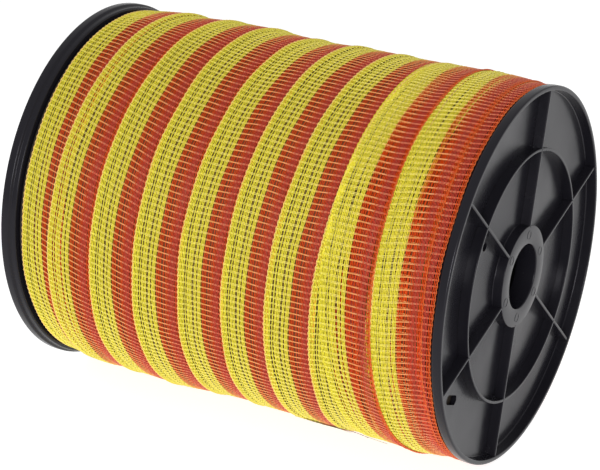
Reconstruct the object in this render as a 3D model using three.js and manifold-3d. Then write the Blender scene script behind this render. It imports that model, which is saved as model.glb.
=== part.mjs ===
// Electric fence tape: a reel of woven fence tape, wound on a moulded plastic spool.
//
// Millimetres. The reel lies on the rims of its flanges, with its axis along X and +Z up.
// The origin is on the axis, halfway along the spool.

import * as THREE from 'three';
import { mergeVertices } from 'three/addons/utils/BufferGeometryUtils.js';
import Module from 'manifold-3d';

// Spool: two like flanges on a core tube.
const SPOOL_LENGTH = 193; // from lip to lip
const FLANGE_RADIUS = 75;

// Rim of a flange: a shallow cup with a bead round its mouth.
const LIP_WIDTH = 1.9;
const BEAD_LENGTH = 3.5;
const BEAD_STEP = 1.0;
const WEB_THICKNESS = 2.0;
const RECESS_DEPTH = 4.3;

// Ribs in the cup.
const RIB_COUNT = 6;
const RIB_THICKNESS = 1.3;
const RIB_SETBACK = 0.4; // of the ribs' edges from the lip
const FIRST_RIB_ANGLE = 14.6; // degrees, from +Y towards +Z
const RING_RIB_THICKNESS = 1.1;

// Hub: a raised face round the bore, with a sleeve behind it.
const HUB_FACE_WIDTH = 7.3; // round the bore
const HUB_WALL = 2.0;
const BORE_RADIUS = 12.9;
const SLEEVE_WALL = 1.6;
const SLEEVE_REACH = 2.5; // behind the web

// Core tube, and the ring on the back of each flange that centres it.
const CORE_RADIUS = 50;
const CORE_WALL = 2.2;
const SPIGOT_WALL = 1.6;
const SPIGOT_LENGTH = 5;

// Holes in the web: a slot that takes the tape's inner end, and a small pilot hole.
const TIE_SLOT_LENGTH = 9.6;
const TIE_SLOT_WIDTH = 3.8;
const TIE_SLOT_OUT = 11.5; // outside the core tube
const TIE_SLOT_ANGLE = -152.4;
const TIE_SLOT_TURN = -26.8; // of its long side, from +Y towards +Z
const PILOT_HOLE_RADIUS = 1.7;
const PILOT_HOLE_IN = 12.1; // inside the core tube's outer wall
const PILOT_HOLE_ANGLE = 140.3;

// Tape, wound from the left flange to the right one, each turn lapping the one before.
const TAPE_WIDTH = 20;
const TAPE_THICKNESS = 0.45;
const TAPE_LAP = 0.3; // of one turn over the last
const RIM_MARGIN = 0.35; // of the winding's outside below the rims
const SHOULDER_DROP = 3.4;
const SHOULDER_WIDTH = 2.6;

// Clearances between pieces.
const CORE_CLEARANCE = 0.3;
const FACE_CLEARANCE = 0.3;
const WINDING_CLEARANCE = 0.3;

const RIM_SEGMENTS = 72;
const HUB_SEGMENTS = 36;

const webOuter = -RECESS_DEPTH;
const webInner = webOuter - WEB_THICKNESS;
const ribTop = -RIB_SETBACK;
const wallRadius = FLANGE_RADIUS - BEAD_STEP;
const cupRadius = FLANGE_RADIUS - LIP_WIDTH;
const hubRadius = BORE_RADIUS + HUB_FACE_WIDTH;
const coreInner = CORE_RADIUS - CORE_WALL;
const innerHalf = SPOOL_LENGTH / 2 + webInner; // from the middle to a web's inner face

const wasm = await Module();
wasm.setup();

function toSolid(geometry) {
  const bare = geometry.clone();
  bare.deleteAttribute('normal');
  bare.deleteAttribute('uv');
  const merged = mergeVertices(bare, 1e-4);
  const mesh = new wasm.Mesh({
    numProp: 3,
    vertProperties: new Float32Array(merged.attributes.position.array),
    triVerts: new Uint32Array(merged.index.array),
  });
  return new wasm.Manifold(mesh);
}

function toGeometry(solid) {
  const mesh = solid.getMesh();
  const geometry = new THREE.BufferGeometry();
  geometry.setAttribute('position', new THREE.BufferAttribute(new Float32Array(mesh.vertProperties), 3));
  geometry.setIndex(new THREE.BufferAttribute(new Uint32Array(mesh.triVerts), 1));
  geometry.computeVertexNormals();
  return geometry;
}

// A body of revolution about Z, from [radius, height] points that close on themselves.
// It starts half a segment round, so that it has a facet, not a corner, on each side.
function turned(profile, segments) {
  const points = [...profile, profile[0]].map(([radius, height]) => new THREE.Vector2(radius, height));
  const geometry = new THREE.LatheGeometry(points, segments, Math.PI / segments);
  return geometry.rotateX(Math.PI / 2);
}

function ring(inner, outer, bottom, top, segments) {
  return turned([[inner, bottom], [outer, bottom], [outer, top], [inner, top]], segments);
}

// Angles on a flange are seen from +X, and the flange is modelled with its mouth up.
function onFlange(geometry, radius, angle) {
  const turn = THREE.MathUtils.degToRad(angle) + Math.PI / 2;
  return geometry.translate(radius * Math.cos(turn), radius * Math.sin(turn), 0);
}

function rimAndWeb() {
  return turned([
    [BORE_RADIUS + SLEEVE_WALL / 2, webInner],
    [wallRadius, webInner],
    [wallRadius, -BEAD_LENGTH],
    [FLANGE_RADIUS, -BEAD_LENGTH],
    [FLANGE_RADIUS, 0],
    [cupRadius, 0],
    [cupRadius, webOuter],
    [BORE_RADIUS + SLEEVE_WALL / 2, webOuter],
  ], RIM_SEGMENTS);
}

function ringRib() {
  const half = RING_RIB_THICKNESS / 2;
  return ring(CORE_RADIUS - half, CORE_RADIUS + half, webInner + WEB_THICKNESS / 2, ribTop, RIM_SEGMENTS);
}

function radialRib(index) {
  const start = hubRadius - HUB_WALL / 2;
  const end = cupRadius + LIP_WIDTH / 2;
  const foot = webInner + WEB_THICKNESS / 2;
  const rib = new THREE.BoxGeometry(end - start, RIB_THICKNESS, ribTop - foot);
  rib.translate((start + end) / 2, 0, (ribTop + foot) / 2);
  const angle = FIRST_RIB_ANGLE + (index * 360) / RIB_COUNT;
  return rib.rotateZ(THREE.MathUtils.degToRad(angle) + Math.PI / 2);
}

function hub() {
  return ring(BORE_RADIUS, hubRadius, webInner, ribTop, HUB_SEGMENTS);
}

function sleeve() {
  const outer = BORE_RADIUS + SLEEVE_WALL;
  return ring(BORE_RADIUS, outer, webInner - SLEEVE_REACH, ribTop, HUB_SEGMENTS);
}

function hubHollow() {
  const inner = BORE_RADIUS + SLEEVE_WALL;
  return ring(inner, hubRadius - HUB_WALL, webInner - 1, ribTop - HUB_WALL, HUB_SEGMENTS);
}

function spigot() {
  const outer = coreInner - CORE_CLEARANCE;
  const top = webInner + WEB_THICKNESS / 2;
  return ring(outer - SPIGOT_WALL, outer, webInner - SPIGOT_LENGTH, top, RIM_SEGMENTS);
}

function throughHole(shape) {
  const depth = 3 * WEB_THICKNESS;
  const hole = new THREE.ExtrudeGeometry(shape, { depth, bevelEnabled: false, curveSegments: 6 });
  return hole.translate(0, 0, (webInner + webOuter - depth) / 2);
}

function tieSlot() {
  const end = TIE_SLOT_WIDTH / 2;
  const reach = TIE_SLOT_LENGTH / 2 - end;
  const shape = new THREE.Shape();
  shape.absarc(reach, 0, end, -Math.PI / 2, Math.PI / 2);
  shape.absarc(-reach, 0, end, Math.PI / 2, 1.5 * Math.PI);
  const slot = throughHole(shape);
  slot.rotateZ(THREE.MathUtils.degToRad(TIE_SLOT_TURN) + Math.PI / 2);
  return onFlange(slot, CORE_RADIUS + TIE_SLOT_OUT, TIE_SLOT_ANGLE);
}

function pilotHole() {
  const shape = new THREE.Shape();
  shape.absarc(0, 0, PILOT_HOLE_RADIUS, 0, 2 * Math.PI);
  return onFlange(throughHole(shape), CORE_RADIUS - PILOT_HOLE_IN, PILOT_HOLE_ANGLE);
}

function flangeGeometry() {
  let solid = toSolid(rimAndWeb());
  const parts = [ringRib(), hub(), sleeve(), spigot()];
  for (let index = 0; index < RIB_COUNT; index += 1) parts.push(radialRib(index));
  for (const part of parts) solid = solid.add(toSolid(part));
  for (const cut of [hubHollow(), tieSlot(), pilotHole()]) solid = solid.subtract(toSolid(cut));
  return toGeometry(solid);
}

function coreGeometry() {
  const half = innerHalf - FACE_CLEARANCE;
  return ring(coreInner, CORE_RADIUS, -half, half, RIM_SEGMENTS);
}

// The winding's section, from left to right. Each turn's left edge stands on the turn before,
// and the first turn shows only what the second leaves bare.
function windingProfile() {
  const half = innerHalf - FACE_CLEARANCE;
  const bore = CORE_RADIUS + WINDING_CLEARANCE;
  const shoulder = half - SHOULDER_WIDTH;
  const pitch = TAPE_WIDTH - TAPE_LAP;
  const turns = Math.ceil((2 * shoulder) / pitch);
  const outside = FLANGE_RADIUS - RIM_MARGIN;
  const profile = [[bore, -half], [outside - SHOULDER_DROP, -half]];
  for (let turn = turns; turn > 0; turn -= 1) {
    profile.push([outside, Math.max(shoulder - turn * pitch, -shoulder)]);
    profile.push([outside - TAPE_THICKNESS, shoulder - (turn - 1) * pitch]);
  }
  profile.push([outside - SHOULDER_DROP, half], [bore, half]);
  return profile;
}

const flange = flangeGeometry();
const blackPlastic = { color: 0x17181a, roughness: 0.35, metalness: 0 };
const corePlastic = { color: 0x202224, roughness: 0.5, metalness: 0 };
const wovenTape = { color: 0xd8b62c, roughness: 0.8, metalness: 0 };

function piece(name, geometry, finish, x, turn) {
  const mesh = new THREE.Mesh(geometry, new THREE.MeshStandardMaterial(finish));
  mesh.name = name;
  mesh.position.x = x;
  mesh.rotation.y = turn;
  return mesh;
}

const reel = new THREE.Group();
reel.add(piece('flange_right', flange, blackPlastic, SPOOL_LENGTH / 2, Math.PI / 2));
reel.add(piece('flange_left', flange, blackPlastic, -SPOOL_LENGTH / 2, -Math.PI / 2));
reel.add(piece('core_tube', coreGeometry(), corePlastic, 0, Math.PI / 2));
reel.add(piece('tape_winding', turned(windingProfile(), RIM_SEGMENTS), wovenTape, 0, Math.PI / 2));

export default reel;
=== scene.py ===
"""A reel of electric fence tape: woven yellow and orange tape on a black moulded spool.

The reel lies on its rims with its axis along X. The CAD model gives the spool's size and
place. Lengths below are in millimetres unless a name says otherwise, and MM makes them metres.
"""
import math

import bmesh
import bpy
import numpy as np
from mathutils import Matrix, Vector


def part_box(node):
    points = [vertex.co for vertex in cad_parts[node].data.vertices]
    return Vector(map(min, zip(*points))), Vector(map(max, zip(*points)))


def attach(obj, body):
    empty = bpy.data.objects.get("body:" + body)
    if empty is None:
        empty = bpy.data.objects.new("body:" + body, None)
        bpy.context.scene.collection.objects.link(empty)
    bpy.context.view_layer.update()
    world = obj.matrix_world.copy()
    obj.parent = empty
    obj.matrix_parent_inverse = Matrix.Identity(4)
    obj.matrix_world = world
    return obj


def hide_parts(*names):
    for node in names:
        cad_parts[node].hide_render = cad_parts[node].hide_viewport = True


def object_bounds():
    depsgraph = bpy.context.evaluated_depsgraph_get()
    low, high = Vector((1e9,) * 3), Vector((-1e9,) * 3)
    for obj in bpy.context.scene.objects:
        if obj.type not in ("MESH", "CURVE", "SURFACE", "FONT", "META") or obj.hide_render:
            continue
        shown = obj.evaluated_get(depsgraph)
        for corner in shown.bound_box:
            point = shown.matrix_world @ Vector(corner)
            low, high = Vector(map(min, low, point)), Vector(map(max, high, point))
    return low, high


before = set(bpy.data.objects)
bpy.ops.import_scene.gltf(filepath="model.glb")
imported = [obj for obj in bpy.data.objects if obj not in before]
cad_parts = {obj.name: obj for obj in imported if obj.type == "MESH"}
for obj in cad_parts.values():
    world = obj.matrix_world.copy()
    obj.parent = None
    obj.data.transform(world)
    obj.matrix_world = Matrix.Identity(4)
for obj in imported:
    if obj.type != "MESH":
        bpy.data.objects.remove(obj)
cad_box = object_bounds()
MM = 0.001


# Flanges. Each is one injection moulding in glossy black plastic: a shallow cup with a beaded
# rim, six radial ribs, a ring rib and a raised hub round the bore. The two are alike, and each
# is pushed over an end of the core tube.
LIP_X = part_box("flange_right")[1].x / MM
RIM_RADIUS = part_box("flange_right")[1].z / MM
LIP_WIDTH = 1.9
BEAD_LENGTH = 3.5
WALL_RADIUS = RIM_RADIUS - 1.0
RECESS_DEPTH = 4.3
WEB_BACK = 6.3
SPIGOT_RADII = (45.9, 47.5)
SPIGOT_BACK = 11.3
HUB_RADIUS = 20.2
HUB_WALL = 2.0
BORE_RADIUS = 12.9
SLEEVE_RADIUS = 14.5
SLEEVE_BACK = 8.8
RIB_SETBACK = 0.4
RIB_COUNT = 6
RIB_TOP_WIDTH = 1.15
RIB_FOOT_WIDTH = 1.5
FIRST_RIB_ANGLE = math.radians(14.6)
RING_RIB_RADIUS = 50.0
RING_RIB_WIDTH = 1.1
RIB_ROOT = 0.5  # of every rib, sunk in the web
TIE_SLOT_PLACE = (61.5, -152.4)  # radius, and degrees from +Y towards +Z
TIE_SLOT_END_RADIUS = 1.9
TIE_SLOT_REACH = 2.9
TIE_SLOT_TILT = math.radians(-26.8)
PILOT_HOLE_PLACE = (37.9, 140.3)
PILOT_HOLE_RADIUS = 1.7
EJECTOR_RING_PLACE = 16.5  # radius from the axis
TURN_STEPS = 160


def spun_about_x(outline, steps):
    """A bmesh of a closed outline of (x, radius, rounding) corners, spun about X."""
    bm = bmesh.new()
    corners = [bm.verts.new((x * MM, 0.0, radius * MM)) for x, radius, _ in outline]
    bm.faces.new(corners)
    for rounding in sorted({corner[2] for corner in outline if corner[2] > 0}):
        rounded = [v for v, corner in zip(corners, outline) if corner[2] == rounding]
        bmesh.ops.bevel(
            bm, geom=rounded, affect="VERTICES", offset=rounding * MM, offset_type="OFFSET",
            segments=4, profile=0.5, material=-1, clamp_overlap=True,
        )
    bmesh.ops.delete(bm, geom=bm.faces[:], context="FACES_ONLY")
    bmesh.ops.spin(
        bm, geom=bm.verts[:] + bm.edges[:], cent=(0, 0, 0), axis=(1, 0, 0),
        angle=2 * math.pi, steps=steps, use_merge=True, use_duplicate=False,
    )
    bmesh.ops.remove_doubles(bm, verts=bm.verts[:], dist=1e-6)
    bmesh.ops.recalc_face_normals(bm, faces=bm.faces[:])
    return bm


def mesh_object(bm, name):
    mesh = bpy.data.meshes.new(name)
    bm.to_mesh(mesh)
    bm.free()
    piece = bpy.data.objects.new(name, mesh)
    bpy.context.scene.collection.objects.link(piece)
    return piece


def applied(piece):
    """The piece with its modifiers made part of its mesh."""
    graph = bpy.context.evaluated_depsgraph_get()
    mesh = bpy.data.meshes.new_from_object(piece.evaluated_get(graph))
    piece.modifiers.clear()
    piece.data = mesh
    return piece


def shade(piece, sharp_above=38):
    piece.data.shade_smooth()
    piece.data.set_sharp_from_angle(angle=math.radians(sharp_above))


def cup_outline():
    """The flange's section: (x, radius, rounding), from the lip's outer edge round to its inner."""
    def at(depth, radius, rounding=0.0):
        return (LIP_X - depth, radius, rounding)
    return [
        at(0, RIM_RADIUS, 0.7),
        at(BEAD_LENGTH, RIM_RADIUS, 0.5),
        at(BEAD_LENGTH + 0.5, WALL_RADIUS, 0.3),
        at(WEB_BACK, WALL_RADIUS, 0.7),
        at(WEB_BACK, SPIGOT_RADII[1], 0.4),
        at(SPIGOT_BACK, SPIGOT_RADII[1], 0.3),
        at(SPIGOT_BACK, SPIGOT_RADII[0], 0.3),
        at(WEB_BACK, SPIGOT_RADII[0], 0.4),
        at(WEB_BACK, HUB_RADIUS - HUB_WALL, 0.3),
        at(RIB_SETBACK + HUB_WALL, HUB_RADIUS - HUB_WALL, 0.3),
        at(RIB_SETBACK + HUB_WALL, SLEEVE_RADIUS, 0.3),
        at(SLEEVE_BACK, SLEEVE_RADIUS, 0.2),
        at(SLEEVE_BACK, BORE_RADIUS, 0.3),
        at(RIB_SETBACK, BORE_RADIUS, 0.45),
        at(RIB_SETBACK, HUB_RADIUS, 0.22),
        at(RECESS_DEPTH, HUB_RADIUS + 0.12, 0.35),
        at(RECESS_DEPTH, RIM_RADIUS - LIP_WIDTH - 0.15, 0.5),
        at(0, RIM_RADIUS - LIP_WIDTH, 0.35),
    ]


def drilled(body):
    """Cuts the tie slot and the pilot hole through the web."""
    def place(radius, degrees):
        angle = math.radians(degrees)
        web_middle = LIP_X - (RECESS_DEPTH + WEB_BACK) / 2
        return Vector((web_middle, radius * math.cos(angle), radius * math.sin(angle))) * MM

    def cutter(name, centre, hole_radius, reach, tilt):
        bm = bmesh.new()
        along = Vector((0, math.cos(tilt), math.sin(tilt))) * reach * MM
        upright = Matrix.Rotation(math.pi / 2, 4, "Y")
        for side in (-1, 1):
            bmesh.ops.create_cone(
                bm, cap_ends=True, segments=28, radius1=hole_radius * MM, radius2=hole_radius * MM,
                depth=6 * MM, matrix=Matrix.Translation(centre + side * along) @ upright,
            )
        hull = bmesh.ops.convex_hull(bm, input=bm.verts[:])
        bmesh.ops.delete(bm, geom=hull["geom_interior"], context="VERTS")
        hull_faces = {e for e in hull["geom"] if isinstance(e, bmesh.types.BMFace)}
        bmesh.ops.delete(bm, geom=[f for f in bm.faces if f not in hull_faces], context="FACES_ONLY")
        return mesh_object(bm, name)

    cutters = [
        cutter("tie_slot_cutter", place(*TIE_SLOT_PLACE), TIE_SLOT_END_RADIUS, TIE_SLOT_REACH, TIE_SLOT_TILT),
        cutter("pilot_hole_cutter", place(*PILOT_HOLE_PLACE), PILOT_HOLE_RADIUS, 0.05, 0.0),
    ]
    for tool in cutters:
        cut = body.modifiers.new(tool.name, "BOOLEAN")
        cut.operation = "DIFFERENCE"
        cut.solver = "EXACT"
        cut.object = tool
    applied(body)
    for tool in cutters:
        bpy.data.objects.remove(tool)
    return body


def radial_rib(bm, angle):
    """A tapered rib from the hub to the rim, with its two top edges rounded."""
    start, end = HUB_RADIUS - 0.6, RIM_RADIUS - LIP_WIDTH + 0.6
    foot = LIP_X - RECESS_DEPTH - RIB_ROOT
    top = LIP_X - RIB_SETBACK
    made = bmesh.ops.create_cube(bm, size=1.0)["verts"]
    for v in made:
        width = RIB_TOP_WIDTH if v.co.x > 0 else RIB_FOOT_WIDTH
        v.co = Vector((top if v.co.x > 0 else foot, v.co.y * width, end if v.co.z > 0 else start)) * MM
    edges = {e for v in made for e in v.link_edges}
    upper = [e for e in edges if all(v.co.x > (top - 0.01) * MM for v in e.verts)]
    crest = [e for e in upper if abs(e.verts[0].co.y - e.verts[1].co.y) < 1e-6]
    turn = Matrix.Rotation(angle - math.pi / 2, 3, "X")
    bevelled = bmesh.ops.bevel(
        bm, geom=crest, affect="EDGES", offset=0.3 * MM, segments=3, profile=0.5, material=-1,
    )
    verts = set(bevelled["verts"]) | {v for v in made if v.is_valid}
    bmesh.ops.rotate(bm, cent=(0, 0, 0), matrix=turn, verts=list(verts))


def ejector_mark(bm, angle):
    """The faint raised ring that an ejector pin leaves on the hub's face."""
    across, up = EJECTOR_RING_PLACE * math.cos(angle), EJECTOR_RING_PLACE * math.sin(angle)
    centre = Vector((LIP_X - RIB_SETBACK, across, up)) * MM
    section = [(-0.05, 1.55), (0.1, 1.65), (0.1, 1.8), (-0.05, 1.9)]
    start = [bm.verts.new(centre + Vector((x, 0, radius)) * MM) for x, radius in section]
    edges = [bm.edges.new((start[i], start[(i + 1) % 4])) for i in range(4)]
    bmesh.ops.spin(
        bm, geom=start + edges, cent=centre, axis=(1, 0, 0), angle=2 * math.pi, steps=28,
        use_merge=True, use_duplicate=False,
    )


def flange_mesh(name):
    body = drilled(mesh_object(spun_about_x(cup_outline(), TURN_STEPS), name))
    bm = bmesh.new()
    bm.from_mesh(body.data)
    half = RING_RIB_WIDTH / 2
    foot = LIP_X - RECESS_DEPTH - RIB_ROOT
    top = LIP_X - RIB_SETBACK
    ring_outline = [
        (foot, RING_RIB_RADIUS - half - 0.1, 0.0),
        (foot, RING_RIB_RADIUS + half + 0.1, 0.0),
        (top, RING_RIB_RADIUS + half, 0.25),
        (top, RING_RIB_RADIUS - half, 0.25),
    ]
    ring = spun_about_x(ring_outline, TURN_STEPS)
    ring_mesh = bpy.data.meshes.new("ring_rib")
    ring.to_mesh(ring_mesh)
    ring.free()
    bm.from_mesh(ring_mesh)
    bpy.data.meshes.remove(ring_mesh)
    for index in range(RIB_COUNT):
        angle = FIRST_RIB_ANGLE + index * 2 * math.pi / RIB_COUNT
        radial_rib(bm, angle)
        ejector_mark(bm, angle)
    bm.to_mesh(body.data)
    bm.free()
    shade(body)
    return body


def new_material(name, colour, roughness, specular=0.5):
    material = bpy.data.materials.new(name)
    material.use_nodes = True
    shader = material.node_tree.nodes["Principled BSDF"]
    shader.inputs["Base Color"].default_value = (*colour, 1.0)
    shader.inputs["Roughness"].default_value = roughness
    shader.inputs["Specular IOR Level"].default_value = specular
    return material, material.node_tree, shader


def black_plastic():
    """Glossy black plastic with the faint orange-peel and handling dullness of a moulding."""
    material, tree, shader = new_material("spool_black_plastic", (0.009, 0.0085, 0.0115), 0.2, 0.2)
    shader.inputs["Specular Tint"].default_value = (0.95, 0.93, 1.0, 1)
    place = tree.nodes.new("ShaderNodeTexCoord")
    peel = tree.nodes.new("ShaderNodeTexNoise")
    peel.inputs["Scale"].default_value = 900
    peel.inputs["Detail"].default_value = 3
    dull = tree.nodes.new("ShaderNodeTexNoise")
    dull.inputs["Scale"].default_value = 45
    dull.inputs["Detail"].default_value = 6
    spread = tree.nodes.new("ShaderNodeMapRange")
    spread.inputs["From Min"].default_value = 0.35
    spread.inputs["From Max"].default_value = 0.7
    spread.inputs["To Min"].default_value = 0.19
    spread.inputs["To Max"].default_value = 0.3
    bump = tree.nodes.new("ShaderNodeBump")
    bump.inputs["Strength"].default_value = 0.06
    bump.inputs["Distance"].default_value = 0.0002
    tree.links.new(place.outputs["Object"], peel.inputs["Vector"])
    tree.links.new(place.outputs["Object"], dull.inputs["Vector"])
    tree.links.new(dull.outputs["Fac"], spread.inputs["Value"])
    tree.links.new(spread.outputs["Result"], shader.inputs["Roughness"])
    tree.links.new(peel.outputs["Fac"], bump.inputs["Height"])
    tree.links.new(bump.outputs["Normal"], shader.inputs["Normal"])
    return material


plastic = black_plastic()
right = flange_mesh("spool_flange_right")
left = right.copy()
left.data = right.data.copy()
left.name = "spool_flange_left"
bpy.context.scene.collection.objects.link(left)
left.data.transform(Matrix.Rotation(math.pi, 4, "Y"))
for flange, node in ((right, "flange_right"), (left, "flange_left")):
    flange.data.materials.append(plastic)
    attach(flange, "root")
    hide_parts(node)


# Core tube. A plain extruded plastic tube between the flanges, hidden by the tape and seen only
# through the bore and the tie slot, so the CAD solid stays and takes a duller black.
def core_plastic():
    material, tree, shader = new_material("core_matt_plastic", (0.02, 0.02, 0.022), 0.55)
    place = tree.nodes.new("ShaderNodeTexCoord")
    grain = tree.nodes.new("ShaderNodeTexNoise")
    grain.inputs["Scale"].default_value = 300
    bump = tree.nodes.new("ShaderNodeBump")
    bump.inputs["Strength"].default_value = 0.15
    bump.inputs["Distance"].default_value = 0.0003
    tree.links.new(place.outputs["Object"], grain.inputs["Vector"])
    tree.links.new(grain.outputs["Fac"], bump.inputs["Height"])
    tree.links.new(bump.outputs["Normal"], shader.inputs["Normal"])
    return material


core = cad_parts["core_tube"]
core.data.materials.clear()
core.data.materials.append(core_plastic())


# The tape's way round the spool. It is wound in rings that step along by its own width, and it
# turns back at the right flange, where the last turn and a half lie on top. A turn is counted
# from the side that faces the front, and goes over the top to the back.
TAPE_WIDTH = 19.9
TAPE_LAYER = 0.44
START_TURN = -0.83
END_TURN = 10.76
FRONT_ANGLE = math.radians(150)
TURN_LENGTH = 2 * math.pi * 75.6
RIGHT_STOP = 92.2
FLOOR_REACH = RIM_RADIUS - 0.12
THREAD_ROOM = 0.3  # between the tape's middle and the floor
WOUND_EASE = 2.0  # how far each way the corners of WOUND_RADIUS are rounded off
# The outermost layer's middle, as (x, radius).
WOUND_RADIUS = np.array([
    (-90, 72.4), (-85, 72.8), (-80, 73.6), (-72, 74.35), (-60, 74.65), (-44, 75.2), (-30, 75.2),
    (-16, 74.35), (-4, 74.2), (8, 74.6), (30, 74.75), (60, 74.6), (74, 75.0), (80, 74.5), (86, 74.25),
    (90, 74.4), (93, 74.5),
])
# The left edge's place along the spool, as (turn, x). Between the pairs it goes straight.
LEFT_EDGE = np.array([
    (-1.0, -87.9), (0.17, -87.7), (0.8, -76.3), (1.0, -72.9), (1.17, -69.3), (2.0, -52.5), (3.0, -32.6),
    (4.0, -13.0), (4.09, -10.8), (5.0, 6.6), (5.85, 22.3), (6.0, 25.6), (6.87, 41.8), (7.0, 45.0),
    (7.08, 47.0), (7.17, 48.0), (7.6, 57.8), (7.92, 66.2), (8.0, 67.6), (8.12, 69.1), (8.75, 69.8),
    (8.83, 69.9), (8.96, 68.2), (9.0, 66.9), (9.17, 66.4), (9.4, 64.0), (9.65, 56.5), (9.83, 50.2),
    (9.88, 48.8), (9.93, 47.2), (10.0, 45.2), (10.08, 46.1), (10.17, 47.1), (10.3, 44.6), (10.5, 35.0),
    (10.74, 21.0), (11.0, 6.0),
])
# How far the weft leans, as (turn, rise along the tape for each width across it).
WEFT_LEAN = np.array([
    (-1, -0.2), (1.5, -0.28), (2.1, -0.28), (3, -0.08), (4, 0.0), (5, -0.06), (6, 0.02), (7, 0.06),
    (8, 0.1), (9.0, 0.17), (9.6, 0.0), (11, -0.04),
])
# Where the tape is pulled wider, as (turn, times its width).
WIDENING = np.array([
    (-1, 1.0), (5.5, 1.0), (5.9, 1.03), (6.3, 1.03), (6.8, 1.0), (9.8, 1.0), (9.9, 1.02), (10.0, 1.1),
    (10.08, 1.01), (11, 1.0),
])
# Where the orange half is drawn over the flange's rim, up to the bead, as (turn, distance).
SPREAD = np.array([
    (-1, 0.0), (7.55, 0.0), (7.7, 10.5), (7.75, 10.4), (7.92, 6.1), (8.0, 4.6), (8.12, 3.1), (8.25, 2.8),
    (8.4, 0.0), (11, 0.0),
])
DRAWN_FROM = 10.5  # across the tape: where the part that is drawn over starts
DRAWN_WIDTH = 3.5
# How far the loose end stands off the turns below it, as (turn, distance).
STAND_OFF = np.array([(-1, 0.0), (10.66, 0.0), (10.72, 0.25), (10.76, 0.6), (11, 0.8)])


def eased(pairs, at, reach=0.035):
    """The value of (place, value) pairs at each place asked for, with their corners rounded off."""
    steps = np.linspace(-reach, reach, 5)
    return sum(np.interp(at + step, pairs[:, 0], pairs[:, 1]) for step in steps) / len(steps)


def ripple(seed, *places):
    """A smooth random field of about -1 to 1, the same on every run."""
    dice = np.random.RandomState(seed)
    field = np.zeros_like(places[0])
    for _ in range(6):
        field += np.sin(sum(place * dice.normal() for place in places) + dice.uniform(0, 2 * math.pi))
    return field / 3.0


def layers_under(x, turn):
    """How many earlier turns of this layer lie under each point, with a slope beside each edge."""
    slope = 2.2
    edge_bulge = 0.3
    first_stretch = 0.08
    count = np.zeros_like(x)
    for earlier in (1, 2, 3):
        there = turn - earlier
        left_edge = eased(LEFT_EDGE, there)
        right_edge = left_edge + TAPE_WIDTH + edge_bulge
        inside = np.clip(np.minimum(x - left_edge, right_edge - x) / slope + 1, 0, 1)
        begun = np.clip((there - START_TURN) / first_stretch, 0, 1)
        count += begun * inside * inside * (3 - 2 * inside)
    return count


def pressed_flat(radius, angle, spare):
    """The radius, where the floor lets it be that long, and otherwise up to the floor."""
    down = np.maximum(-np.sin(angle), 0.2)
    return np.minimum(radius, (FLOOR_REACH - spare) / down)


def wound(flat):
    """Flat tape points (across, along, height) as points on the spool, in metres."""
    across, along, height = flat[:, 0], flat[:, 1], flat[:, 2]
    lean = eased(WEFT_LEAN, along / TURN_LENGTH, 0.2)
    along = along + lean * (across - TAPE_WIDTH / 2)
    along = along + 0.2 * ripple(3, across / 4, along / 5) + 0.06 * ripple(4, across / 1.2, along / 1.7)
    turn = along / TURN_LENGTH
    angle = FRONT_ANGLE - 2 * math.pi * turn
    left_edge = eased(LEFT_EDGE, turn)
    spread = eased(SPREAD, turn)
    span = np.minimum(TAPE_WIDTH * eased(WIDENING, turn), RIGHT_STOP - spread - left_edge)
    drawn = np.clip((across - DRAWN_FROM) / DRAWN_WIDTH, 0, 1)
    x = left_edge + span * across / TAPE_WIDTH + spread * drawn * drawn * (3 - 2 * drawn)
    x = x + 0.17 * ripple(5, across / 0.9, along / 9) + 0.12 * ripple(8, along / 14)
    sag = 0.14 * ripple(11, x / 9, 3 * np.cos(angle), 3 * np.sin(angle))
    sag = sag + 0.03 * ripple(12, across / 2.5, along / 6)
    radius = eased(WOUND_RADIUS, x, WOUND_EASE) + TAPE_LAYER * layers_under(x, turn) + sag
    radius = radius + eased(STAND_OFF, turn, 0.01)
    radius = pressed_flat(radius, angle, THREAD_ROOM) + height
    return np.column_stack((x, radius * np.cos(angle), radius * np.sin(angle))) * MM


# Layers below. The rest of the roll, as one turned body with its bore: the same tape wound the
# other way. Its colours are darkened as painted shade, for the shade it lies in between the threads above it.
ROLL_DEPTH = 0.55  # of its outside below the middle of the outermost layer
ROLL_BORE_RADIUS = 50.3
ROLL_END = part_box("tape_winding")[1].x / MM
ROLL_SHOULDER = 3.0
BELOW_PITCH = 19.55
BELOW_START = 13.0  # where a yellow band begins on the front line
BELOW_WARP_SPACING = 0.62
BELOW_WEFTS_ROUND = 192
# Painted shade: the tape's yellow and orange made dark, for the layer that lies in shade under the outer
# threads.
PAINTED_SHADE_YELLOW_BELOW = (0.18, 0.115, 0.007)
PAINTED_SHADE_ORANGE_BELOW = (0.22, 0.045, 0.007)


def roll_outline():
    places = np.linspace(ROLL_SHOULDER - ROLL_END, ROLL_END - ROLL_SHOULDER, 45)
    outside = eased(WOUND_RADIUS, places, WOUND_EASE) - ROLL_DEPTH
    rings = [(-ROLL_END, ROLL_BORE_RADIUS, 0.0), (-ROLL_END, 71.0, 0.0), (-ROLL_END + 1.2, 72.3, 0.0)]
    rings += [(x, radius, 0.0) for x, radius in zip(places, outside)]
    rings += [(ROLL_END - 1.2, 72.2, 0.0), (ROLL_END, 70.8, 0.0), (ROLL_END, ROLL_BORE_RADIUS, 0.0)]
    return rings


def roll_body():
    bm = spun_about_x(roll_outline(), 240)
    for v in bm.verts:
        angle, radius = math.atan2(v.co.z, v.co.y), math.hypot(v.co.y, v.co.z) / MM
        if radius > ROLL_BORE_RADIUS + 1:
            radius = float(pressed_flat(radius, angle, THREAD_ROOM + ROLL_DEPTH))
            v.co = Vector((v.co.x / MM, radius * math.cos(angle), radius * math.sin(angle))) * MM
    return mesh_object(bm, "tape_layers_below")


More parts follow.
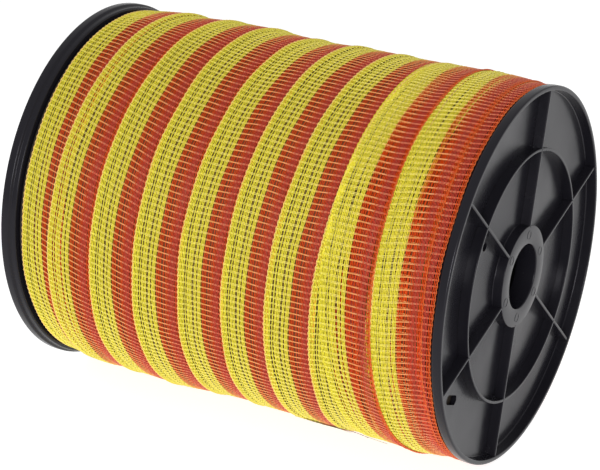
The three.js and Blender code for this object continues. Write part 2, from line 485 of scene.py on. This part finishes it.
def roll_material():
    """Yellow and orange bands on a helix, darkened as painted shade under the threads above, with the woven
    threads as bump.
    """
    material, tree, shader = new_material("tape_below_painted_shade", (0.1, 0.03, 0.01), 0.6)
    nodes, links = tree.nodes, tree.links

    def maths(operation, first, second=0.0, third=None):
        node = nodes.new("ShaderNodeMath")
        node.operation = operation
        for socket, value in zip(node.inputs, (first, second, third)):
            if value is None:
                continue
            if isinstance(value, (int, float)):
                socket.default_value = value
            else:
                links.new(value, socket)
        return node.outputs[0]

    place = nodes.new("ShaderNodeTexCoord")
    split = nodes.new("ShaderNodeSeparateXYZ")
    links.new(place.outputs["Object"], split.inputs[0])
    x, y, z = split.outputs
    angle = maths("ARCTAN2", z, y)
    step = BELOW_PITCH * MM
    turned = maths("MULTIPLY_ADD", maths("SUBTRACT", angle, FRONT_ANGLE), step / (2 * math.pi), x)
    band = maths("FRACT", maths("MULTIPLY_ADD", turned, 1 / step, BELOW_START / BELOW_PITCH))
    ramp = nodes.new("ShaderNodeValToRGB")
    links.new(band, ramp.inputs["Fac"])
    stops = ramp.color_ramp.elements
    stops[0].position, stops[0].color = 0.0, (*PAINTED_SHADE_YELLOW_BELOW, 1)
    stops[1].position, stops[1].color = 0.53, (*PAINTED_SHADE_ORANGE_BELOW, 1)
    for position, colour in ((0.47, PAINTED_SHADE_YELLOW_BELOW), (0.97, PAINTED_SHADE_ORANGE_BELOW)):
        stops.new(position).color = (*colour, 1)
    warp = maths("SINE", maths("MULTIPLY", x, 2 * math.pi / (BELOW_WARP_SPACING * MM)))
    weft = maths("SINE", maths("MULTIPLY", angle, BELOW_WEFTS_ROUND))
    weave = maths("MULTIPLY", warp, maths("ABSOLUTE", weft))
    bump = nodes.new("ShaderNodeBump")
    bump.inputs["Strength"].default_value = 0.6
    bump.inputs["Distance"].default_value = 0.0003
    links.new(weave, bump.inputs["Height"])
    links.new(bump.outputs["Normal"], shader.inputs["Normal"])
    links.new(ramp.outputs["Color"], shader.inputs["Base Color"])
    return material


roll = roll_body()
shade(roll)
roll.data.materials.append(roll_material())
# The roll's end faces take a near-black colour: painted shade for the wound tape edges deep beside the
# flanges.
roll.data.materials.append(new_material("tape_roll_ends_painted_shade", (0.02, 0.012, 0.006), 0.7)[0])
for face in roll.data.polygons:
    face.material_index = int(abs(face.center.x) > (ROLL_END - ROLL_SHOULDER + 0.1) * MM)
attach(roll, "root")
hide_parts("tape_winding")


# Woven tape. Flat plastic threads run along it, five fine steel wires lie among them, and a
# double weft crosses every 2.42 mm and loops round both edges. It is woven flat, one repeat of
# two wefts at a time, and then wound.
WEFT_PITCH = 2.42
REPEAT = 2 * WEFT_PITCH
YELLOW_WARP = (0.3, 0.87, 1.44, 1.98, 3.0, 3.95, 4.43, 5.05, 5.6, 6.92, 7.45, 8.4, 8.92, 9.45)
ORANGE_WARP = (10.45, 11.1, 11.75, 13.0, 13.95, 14.6, 15.15, 15.7, 16.2, 16.75, 17.3, 17.82, 18.6, 19.25)
STEEL_WIRES = (2.66, 6.5, 9.18, 14.3, 16.48)
YELLOW_WIDTH = 0.43
ORANGE_WIDTH = 0.4
WARP_THICKNESS = 0.2
WARP_RISE = 0.12  # over and under the weft
WIRE_WIDTH, WIRE_THICKNESS = 0.14, 0.12
WIRE_SUNK = 0.18
OPEN_ZONE = (10.4, 14.2)
OPEN_SUNK = 0.06
WEFT_WIDTH, WEFT_THICKNESS = 0.31, 0.18
EDGE_WIDTH = 0.46
COLUMNS = sorted(YELLOW_WARP + ORANGE_WARP + STEEL_WIRES)


def thread(bm, path, width, thickness, sideways):
    """A three-sided thread along a path of (across, along, height) points."""
    side = Vector(sideways) * width / 2
    up = Vector((0, 0, thickness / 2))
    start = [bm.verts.new(Vector(path[0]) + offset) for offset in (side - up, up, -side - up)]
    edges = [bm.edges.new((start[i], start[(i + 1) % 3])) for i in range(3)]
    for here, there in zip(path, path[1:]):
        grown = bmesh.ops.extrude_edge_only(bm, edges=edges)["geom"]
        moved = [e for e in grown if isinstance(e, bmesh.types.BMVert)]
        bmesh.ops.translate(bm, verts=moved, vec=Vector(there) - Vector(here))
        grown_edges = [e for e in grown if isinstance(e, bmesh.types.BMEdge)]
        edges = [e for e in grown_edges if e.verts[0] in moved and e.verts[1] in moved]


def over_or_under(column, pick):
    return 1 if (column + pick) % 2 == 0 else -1


def warp_cell(columns, width, thickness, rise, picks=(0, 1, 2)):
    """One repeat of the threads that run along the tape, at the places given across it."""
    bm = bmesh.new()
    for place in columns:
        column = COLUMNS.index(place)
        sunk = OPEN_SUNK if OPEN_ZONE[0] < place < OPEN_ZONE[1] else 0.0
        if place in STEEL_WIRES:
            sunk = WIRE_SUNK
        path = [
            (place, (pick + 0.5) * WEFT_PITCH, rise * over_or_under(column, pick) - sunk) for pick in picks
        ]
        thread(bm, path, width, thickness, (1, 0, 0))
    return bm


# The weft's two threads, as (across, height, distance between them).
WEFT_PATH = (
    (-0.1, 0.0, 0.3), (2.0, 0.02, 0.44), (2.5, -0.2, 0.46), (3.45, -0.18, 0.48), (3.95, 0.02, 0.5),
    (5.7, 0.02, 0.5), (6.25, -0.2, 0.5), (6.8, 0.02, 0.5), (7.93, -0.08, 0.46), (9.6, 0.03, 0.4),
    (12.6, 0.12, 0.2), (14.2, 0.1, 0.26), (15.4, 0.02, 0.4), (TAPE_WIDTH - 0.1, 0.0, 0.3),
)


def weft_cell():
    """Two crossings of the double weft."""
    bm = bmesh.new()
    for pick in range(2):
        for side in (-0.5, 0.5):
            path = [
                (across, (pick + 0.5) * WEFT_PITCH + side * apart, height)
                for across, height, apart in WEFT_PATH
            ]
            thread(bm, path, WEFT_WIDTH, WEFT_THICKNESS, (0, 1, 0))
    return bm


def edge_cell(place, outwards, thickness):
    """The loops that the weft makes round one edge, as one scalloped thread."""
    bm = bmesh.new()
    path = []
    for step in range(9):
        along = (0.5 + step / 4) * WEFT_PITCH
        bulge = 0.5 + 0.5 * math.cos(2 * math.pi * step / 4)
        path.append((place + outwards * (0.02 + 0.34 * bulge), along, 0.04 + 0.06 * bulge))
    thread(bm, path, EDGE_WIDTH, thickness, (1, 0, 0))
    return bm


def woven(bm, name, first_turn, last_turn):
    """Repeats a cell along the tape between two turns, and winds it round the spool."""
    bmesh.ops.recalc_face_normals(bm, faces=bm.faces[:])
    piece = mesh_object(bm, name)
    first_repeat = round(first_turn * TURN_LENGTH / REPEAT)
    array = piece.modifiers.new("repeats", "ARRAY")
    array.fit_type = "FIXED_COUNT"
    array.count = round(last_turn * TURN_LENGTH / REPEAT) - first_repeat
    array.use_relative_offset = False
    array.use_constant_offset = True
    array.constant_offset_displace = (0, REPEAT, 0)
    array.use_merge_vertices = True
    array.merge_threshold = 0.001
    applied(piece)
    mesh = piece.data
    flat = np.empty(len(mesh.vertices) * 3)
    mesh.vertices.foreach_get("co", flat)
    flat = flat.reshape(-1, 3)
    flat[:, 1] += first_repeat * REPEAT
    corners = np.empty(len(mesh.loops), dtype=np.int32)
    mesh.loops.foreach_get("vertex_index", corners)
    layer = mesh.uv_layers.new(name="tape")
    layer.data.foreach_set("uv", (flat[corners, :2] / (TAPE_WIDTH, 1000)).ravel())
    mesh.vertices.foreach_set("co", wound(flat).ravel())
    mesh.shade_smooth()
    mesh.update()
    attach(piece, "root")
    return piece


def thread_material(name, stops, roughness, fleck):
    """Plastic thread whose colour goes by its place across the tape, mottled along it."""
    material, tree, shader = new_material(name, stops[0][1], roughness, 0.12)
    nodes, links = tree.nodes, tree.links
    uv = nodes.new("ShaderNodeUVMap")
    uv.uv_map = "tape"
    split = nodes.new("ShaderNodeSeparateXYZ")
    ramp = nodes.new("ShaderNodeValToRGB")
    elements = ramp.color_ramp.elements
    elements[0].position, elements[0].color = stops[0][0], (*stops[0][1], 1)
    elements[1].position, elements[1].color = stops[-1][0], (*stops[-1][1], 1)
    for position, colour in stops[1:-1]:
        elements.new(position).color = (*colour, 1)
    stretch = nodes.new("ShaderNodeMapping")
    stretch.inputs["Scale"].default_value = (90, 1400, 1)
    mottle = nodes.new("ShaderNodeTexNoise")
    mottle.inputs["Scale"].default_value = 1.0
    mottle.inputs["Detail"].default_value = 2
    shift = nodes.new("ShaderNodeMapRange")
    shift.inputs["From Min"].default_value = 0.3
    shift.inputs["From Max"].default_value = 0.7
    shift.inputs["To Min"].default_value = 1 - fleck
    shift.inputs["To Max"].default_value = 1 + fleck
    vary = nodes.new("ShaderNodeHueSaturation")
    links.new(uv.outputs["UV"], split.inputs[0])
    links.new(split.outputs["X"], ramp.inputs["Fac"])
    links.new(uv.outputs["UV"], stretch.inputs["Vector"])
    links.new(stretch.outputs["Vector"], mottle.inputs["Vector"])
    links.new(mottle.outputs["Fac"], shift.inputs["Value"])
    links.new(shift.outputs["Result"], vary.inputs["Value"])
    links.new(ramp.outputs["Color"], vary.inputs["Color"])
    links.new(vary.outputs["Color"], shader.inputs["Base Color"])
    return material


YELLOW = (0.82, 0.7, 0.055)
ORANGE = (0.72, 0.072, 0.006)
CRIMSON = (0.58, 0.062, 0.034)
YELLOW_STOPS = [(0.0, (0.84, 0.74, 0.05)), (0.5, YELLOW)]
ORANGE_STOPS = [(0.5, ORANGE), (0.73, ORANGE), (0.8, CRIMSON), (0.9, CRIMSON), (0.94, ORANGE)]
WEFT_STOPS = [
    (0.0, (0.96, 0.86, 0.2)), (0.46, (0.98, 0.84, 0.24)), (0.53, (0.88, 0.46, 0.14)),
    (0.6, (0.86, 0.36, 0.12)), (0.7, (0.86, 0.4, 0.17)), (0.78, (0.74, 0.26, 0.14)),
    (0.88, (0.74, 0.22, 0.12)), (1.0, (0.74, 0.14, 0.04)),
]
EDGE_STOPS = [(0.0, (0.97, 0.66, 0.2)), (0.5, (0.74, 0.14, 0.03))]
yellow_finish = thread_material("yellow_thread", YELLOW_STOPS, 0.38, 0.22)
orange_finish = thread_material("orange_thread", ORANGE_STOPS, 0.36, 0.2)
weft_finish = thread_material("weft_thread", WEFT_STOPS, 0.3, 0.12)
edge_finish = thread_material("edge_thread", EDGE_STOPS, 0.34, 0.15)


def steel():
    """Fine dull steel wire in a dark warm colour: painted shade for the wires sunk among the threads, and a
    painted reflection of the yellow tape round them.
    """
    material, _, shader = new_material("steel_wire", (0.2, 0.165, 0.1), 0.4)
    shader.inputs["Metallic"].default_value = 1.0
    return material


wire_painted_shade = steel()

yellow_cell = warp_cell(YELLOW_WARP, YELLOW_WIDTH, WARP_THICKNESS, WARP_RISE)
yellow = woven(yellow_cell, "tape_yellow_warp", START_TURN, END_TURN)
yellow.data.materials.append(yellow_finish)

orange_cell = warp_cell(ORANGE_WARP, ORANGE_WIDTH, WARP_THICKNESS, WARP_RISE)
orange = woven(orange_cell, "tape_orange_warp", START_TURN, END_TURN)
orange.data.materials.append(orange_finish)

wire_cell = warp_cell(STEEL_WIRES, WIRE_WIDTH, WIRE_THICKNESS, 0.0, (0, 2))
wires = woven(wire_cell, "tape_steel_wires", START_TURN, END_TURN)
wires.data.materials.append(wire_painted_shade)

MIDDLE_TURN = (START_TURN + END_TURN) / 2
for name, first, last in (
    ("tape_weft_left", START_TURN, MIDDLE_TURN),
    ("tape_weft_right", MIDDLE_TURN, END_TURN),
):
    weft = woven(weft_cell(), name, first, last)
    weft.data.materials.append(weft_finish)

# From this turn on, the yellow edge is plain yellow thread.
LAST_LAP = 9.5
for name, place, outwards, thickness, first, last, finish, slot in (
    ("tape_yellow_edge", 0.0, -1, 0.3, START_TURN, LAST_LAP, edge_finish, "yellow_thread"),
    ("tape_yellow_edge_end", 0.0, -1, 0.3, LAST_LAP, END_TURN, yellow_finish, "yellow_thread"),
    ("tape_orange_edge", TAPE_WIDTH - 0.2, 1, 0.55, START_TURN, END_TURN, edge_finish, "orange_thread"),
):
    edge = woven(edge_cell(place, outwards, thickness), name, first, last)
    edge.data.materials.append(finish)


# Frayed wires. Past the tape's cut end its steel wires trail on along the roll, sprung out of
# the weave.
FRAYED_WIDTH = 0.16


def frayed_wires():
    """Wires that start a little before the cut end and bend away across the tape."""
    bm = bmesh.new()
    dice = np.random.RandomState(21)
    before_end = END_TURN * TURN_LENGTH - 3
    for place in STEEL_WIRES:
        drift, rise, length = dice.uniform(0.8, 1.25), dice.uniform(0.1, 0.8), dice.uniform(14, 27)
        path = [
            (place + length * drift * step ** 1.4, before_end + 9 * math.sin(2.2 * drift * step), rise * step)
            for step in np.linspace(0, 1, 9)
        ]
        thread(bm, path, FRAYED_WIDTH, FRAYED_WIDTH, (0.4, 0.9, 0))
    piece = mesh_object(bm, "tape_frayed_wires")
    flat = np.array([tuple(v.co) for v in piece.data.vertices])
    piece.data.vertices.foreach_set("co", wound(flat).ravel())
    piece.data.update()
    return piece


frayed = frayed_wires()
frayed.data.materials.append(wire_painted_shade)
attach(frayed, "root")


# Floor, light and view. A plain pale floor whose emission is painted light: it glows softly like a light
# table, brighter near the reel and fading with distance, and lights the reel from below. An even white studio
# round it, one soft lamp at the front, and a long lens at the photograph's angle. Lengths in this section are
# in metres where MM doesn't stand beside them.
FLOOR_Z = cad_box[0].z
FLOOR_SIZE = 6.0
GLOW_FADE = (0.1, 0.5)  # distance from the reel's middle
GLOW_STRENGTH = (0.78, 0.62)
SKY_STRENGTH = 0.68
LAMP_PLACE = (0.7, -1.6, 0.7)
LAMP_SIZE = (0.6, 0.6)
LAMP_WATTS = 15


def pale_floor_painted_glow():
    material, tree, shader = new_material("pale_floor_painted_glow", (0.6, 0.6, 0.6), 0.7, 0.0)
    # The floor's emission is painted light from below, stronger near the reel's middle.
    shader.inputs["Emission Color"].default_value = (1, 1, 1, 1)
    place = tree.nodes.new("ShaderNodeTexCoord")
    distance = tree.nodes.new("ShaderNodeVectorMath")
    distance.operation = "LENGTH"
    glow = tree.nodes.new("ShaderNodeMapRange")
    glow.interpolation_type = "SMOOTHSTEP"
    glow.inputs["From Min"].default_value = GLOW_FADE[0]
    glow.inputs["From Max"].default_value = GLOW_FADE[1]
    glow.inputs["To Min"].default_value = GLOW_STRENGTH[0]
    glow.inputs["To Max"].default_value = GLOW_STRENGTH[1]
    tree.links.new(place.outputs["Object"], distance.inputs[0])
    tree.links.new(distance.outputs["Value"], glow.inputs["Value"])
    tree.links.new(glow.outputs["Result"], shader.inputs["Emission Strength"])
    bm = bmesh.new()
    level = Matrix.Translation((0, 0, FLOOR_Z))
    bmesh.ops.create_grid(bm, x_segments=1, y_segments=1, size=FLOOR_SIZE, matrix=level)
    floor = mesh_object(bm, "floor")
    floor.data.materials.append(material)


def studio_light(name, place, size, watts):
    """A lamp that faces the reel's middle."""
    lamp = bpy.data.lights.new(name, "AREA")
    lamp.shape = "RECTANGLE"
    lamp.size, lamp.size_y = size
    lamp.energy = watts
    holder = bpy.data.objects.new(name, lamp)
    holder.location = place
    holder.rotation_euler = (-Vector(place)).to_track_quat("-Z", "Y").to_euler()
    bpy.context.scene.collection.objects.link(holder)


def studio_sky():
    world = bpy.data.worlds.new("studio")
    world.use_nodes = True
    back = world.node_tree.nodes["Background"]
    back.inputs["Color"].default_value = (1, 1, 1, 1)
    back.inputs["Strength"].default_value = SKY_STRENGTH
    bpy.context.scene.world = world
    bpy.context.scene.view_settings.view_transform = "Standard"


def photo_view():
    """The camera, from the fit of both rims' outlines in the photograph's 600 by 470 frame."""
    flange_radius = 75 * MM
    azimuth, elevation = math.radians(28.76), math.radians(25.76)
    reach = 12.007 * flange_radius
    aside, above = 0.025 * flange_radius, 0.054 * flange_radius
    focal_pixels, frame_width, sensor_width = 2224, 600, 36
    right_axis = Vector((math.cos(azimuth), math.sin(azimuth), 0))
    level = math.cos(elevation)
    back_axis = Vector((math.sin(azimuth) * level, -math.cos(azimuth) * level, math.sin(elevation)))
    up_axis = back_axis.cross(right_axis)
    lens = bpy.data.cameras.new("camera")
    lens.sensor_width = sensor_width
    lens.lens = sensor_width * focal_pixels / frame_width
    camera = bpy.data.objects.new("camera", lens)
    turn = Matrix((right_axis, up_axis, back_axis)).transposed().to_4x4()
    eye = back_axis * reach - right_axis * aside - up_axis * above
    camera.matrix_world = Matrix.Translation(eye) @ turn
    bpy.context.scene.collection.objects.link(camera)
    bpy.context.scene.camera = camera


pale_floor_painted_glow()
studio_sky()
studio_light("front_lamp", LAMP_PLACE, LAMP_SIZE, LAMP_WATTS)
photo_view()
